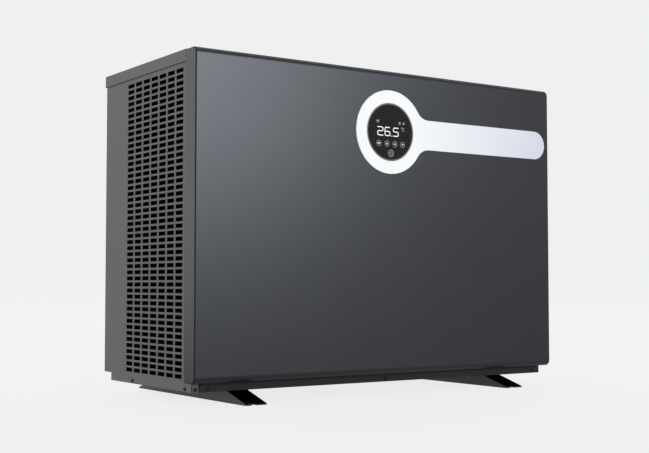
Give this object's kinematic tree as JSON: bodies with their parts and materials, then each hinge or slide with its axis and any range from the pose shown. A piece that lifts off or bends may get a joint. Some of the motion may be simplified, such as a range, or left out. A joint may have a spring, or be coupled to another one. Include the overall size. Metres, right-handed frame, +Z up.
{
  "type": "pool heat pump unit",
  "caption": "Closed-front pool heat pump cabinet on channel feet, with a side air grille, a round touch display, rear water unions, and its fan and refrigerant circuit inside.",
  "frame": {"origin": "on the floor, midway between the four anchor holes of the feet", "axes": "+X to the right seen from the front, +Y from the front cover to the back, +Z up"},
  "size_m": [1.009, 0.531, 0.745],
  "materials": {
    "front_cover_finish": "fine brushed graphite, satin",
    "cover_finish": "graphite powder coat",
    "tray_finish": "graphite powder coat",
    "foot_finish": "black powder coat",
    "guard_plastic": "dark coated wire",
    "white_trim": "glossy white",
    "bezel_plastic": "glossy black",
    "display_glass": "black glass with a printed back",
    "housing_plastic": "moulded black plastic",
    "foam": "open-cell black foam",
    "zinc_steel": "zinc-coated steel",
    "black_screws": "blackened steel",
    "motor_casting": "cast aluminium",
    "coil_fins": "blue hydrophilic coating",
    "copper": "drawn copper",
    "valve_brass": "turned brass",
    "black_vessel": "black enamel",
    "rubber": "moulded rubber",
    "exchanger_plastic": "moulded black plastic",
    "titanium": "drawn titanium tube",
    "union_plastic": "grey pressure-pipe plastic",
    "circuit_board": "green board"
  },
  "bodies": {
    "cabinet": {"front_panel_foam": "foam", "acoustic_splitters": "foam", "partition_panel": "zinc_steel", "fan_shroud": "zinc_steel", "fan_motor_bracket": "zinc_steel", "fan_motor": "motor_casting", "evaporator_fins": "coil_fins", "evaporator_end_plates": "zinc_steel", "evaporator_tubes": "copper", "gas_header": "copper", "liquid_header": "copper", "compressor": "black_vessel", "compressor_grommets": "rubber", "compressor_studs": "zinc_steel", "compressor_terminal_cover": "housing_plastic", "accumulator": "black_vessel", "four_way_valve": "valve_brass", "four_way_coil": "housing_plastic", "expansion_valve": "valve_brass", "gas_pipes": "copper", "suction_pipe": "copper", "liquid_pipes": "copper", "exchanger_shell": "exchanger_plastic", "exchanger_cap": "exchanger_plastic", "titanium_coil": "titanium", "water_inlet_pipe": "union_plastic", "water_outlet_pipe": "union_plastic", "flow_switch_body": "housing_plastic", "electrical_box": "zinc_steel", "electrical_box_lid": "zinc_steel", "inverter_board": "circuit_board", "terminal_block": "housing_plastic", "display_housing": "housing_plastic", "display_board": "circuit_board", "base_pan": "tray_finish", "foot_left": "foot_finish", "foot_right": "foot_finish", "foot_bolts": "zinc_steel", "front_panel": "front_cover_finish", "left_side_panel": "cover_finish", "right_side_panel": "cover_finish", "rear_service_panel": "cover_finish", "rear_coil_guard": "guard_plastic", "top_cover": "cover_finish", "cover_screws": "black_screws", "display_surround": "white_trim", "display_bezel": "bezel_plastic", "display_glass": "display_glass", "union_bodies": "union_plastic", "union_seals": "rubber", "union_tails": "union_plastic", "cable_gland": "housing_plastic", "drain_nozzle": "exchanger_plastic"},
    "fan_rotor": {"fan_impeller": "housing_plastic", "fan_shaft": "zinc_steel", "fan_nut": "zinc_steel"},
    "inlet_nut": {"inlet_union_nut": "union_plastic"},
    "outlet_nut": {"outlet_union_nut": "union_plastic"},
    "flow_paddle": {"flow_switch_paddle": "zinc_steel"}
  },
  "joints": [
    {"name": "fan_spin", "type": "hinge", "parent": "cabinet", "child": "fan_rotor", "pos_m": [-0.1825, 0.06, 0.387], "axis": [0, 1, 0], "continuous": true},
    {"name": "inlet_nut_spin", "type": "hinge", "parent": "cabinet", "child": "inlet_nut", "pos_m": [0.395, 0.23, 0.12], "axis": [0, 1, 0], "continuous": true},
    {"name": "outlet_nut_spin", "type": "hinge", "parent": "cabinet", "child": "outlet_nut", "pos_m": [0.395, 0.23, 0.32], "axis": [0, 1, 0], "continuous": true},
    {"name": "flow_paddle_swing", "type": "hinge", "parent": "cabinet", "child": "flow_paddle", "pos_m": [0.395, 0.1, 0.17], "axis": [-1, 0, 0], "range_deg": [0, 14], "stiffness_Nm_per_rad": 0.05}
  ]
}
